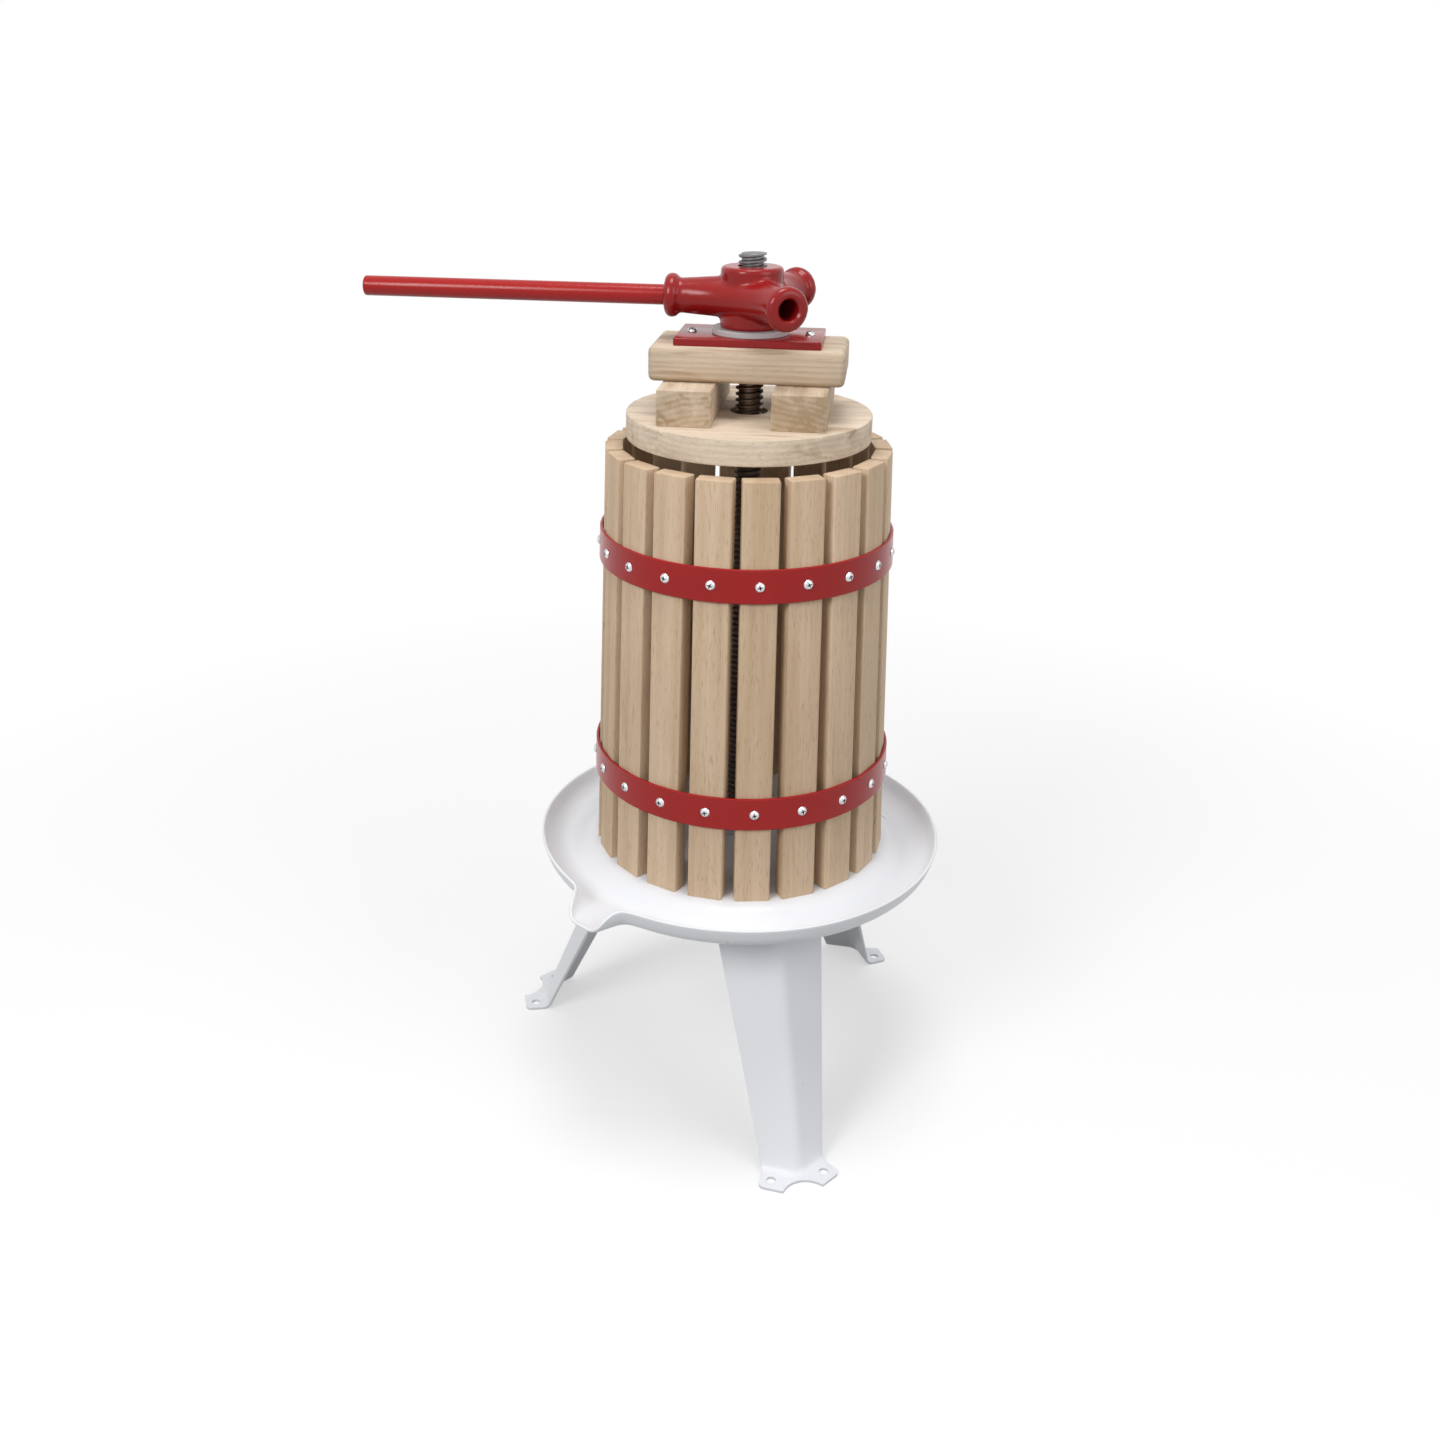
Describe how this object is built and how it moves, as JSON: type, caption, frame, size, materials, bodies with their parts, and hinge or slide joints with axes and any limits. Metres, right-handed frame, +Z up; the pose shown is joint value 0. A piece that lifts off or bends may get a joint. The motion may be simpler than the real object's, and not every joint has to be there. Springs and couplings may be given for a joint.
{
  "type": "fruit press",
  "caption": "Basket press for fruit: a slatted wooden basket in a spouted pan on splayed legs, with a screw head and a handle that drive a split wooden disc down a fixed spindle.",
  "frame": {"origin": "on the spindle's axis, at the level of the feet", "axes": "+Z up along the spindle; the beam and the handle lie along X, the handle towards -X; the spout and the front leg are towards -Y"},
  "size_m": [0.396, 0.3088, 0.5835],
  "materials": {
    "white_enamel": "gloss",
    "red_enamel": "gloss",
    "red_cast": "gloss enamel",
    "zinc": "zinc plated",
    "steel": "oiled",
    "slat_wood": "bare, planed",
    "press_wood": "bare, planed"
  },
  "bodies": {
    "base": {"pan": "white_enamel", "leg_front": "white_enamel", "leg_left": "white_enamel", "leg_right": "white_enamel", "leg_bolts": "zinc", "leg_nuts": "zinc", "spindle": "steel", "base_washer": "zinc", "base_nut": "zinc", "lock_nut": "zinc", "slat_01": "slat_wood", "slat_02": "slat_wood", "slat_03": "slat_wood", "slat_04": "slat_wood", "slat_05": "slat_wood", "slat_06": "slat_wood", "slat_07": "slat_wood", "slat_08": "slat_wood", "slat_09": "slat_wood", "slat_10": "slat_wood", "slat_11": "slat_wood", "slat_12": "slat_wood", "slat_13": "slat_wood", "slat_14": "slat_wood", "slat_15": "slat_wood", "slat_16": "slat_wood", "slat_17": "slat_wood", "slat_18": "slat_wood", "slat_19": "slat_wood", "slat_20": "slat_wood", "hoop_lower": "red_enamel", "hoop_upper": "red_enamel", "hoop_screws_lower": "zinc", "hoop_screws_upper": "zinc"},
    "press_stack": {"disc_half_front": "press_wood", "disc_half_back": "press_wood", "block_left": "press_wood", "block_right": "press_wood", "beam": "press_wood", "base_plate": "red_enamel", "plate_screws": "zinc", "thrust_washer": "zinc"},
    "head": {"head_hub": "red_cast"},
    "handle": {"handle_bar": "red_enamel"}
  },
  "joints": [
    {"name": "press_travel", "type": "slide", "parent": "base", "child": "press_stack", "axis": [0, 0, 1], "range_m": [-0.08, 0.036]},
    {"name": "head_turn", "type": "hinge", "parent": "press_stack", "child": "head", "pos_m": [0, 0, 0.5557], "axis": [0, 0, 1], "range_deg": [-7200, 3240]},
    {"name": "handle_pull", "type": "slide", "parent": "head", "child": "handle", "axis": [-1, 0, 0], "range_m": [0, 0.035]}
  ],
  "couplings": [
    {"joint": "press_travel", "follows": "head_turn", "m_per_rad": 0.00063662}
  ]
}
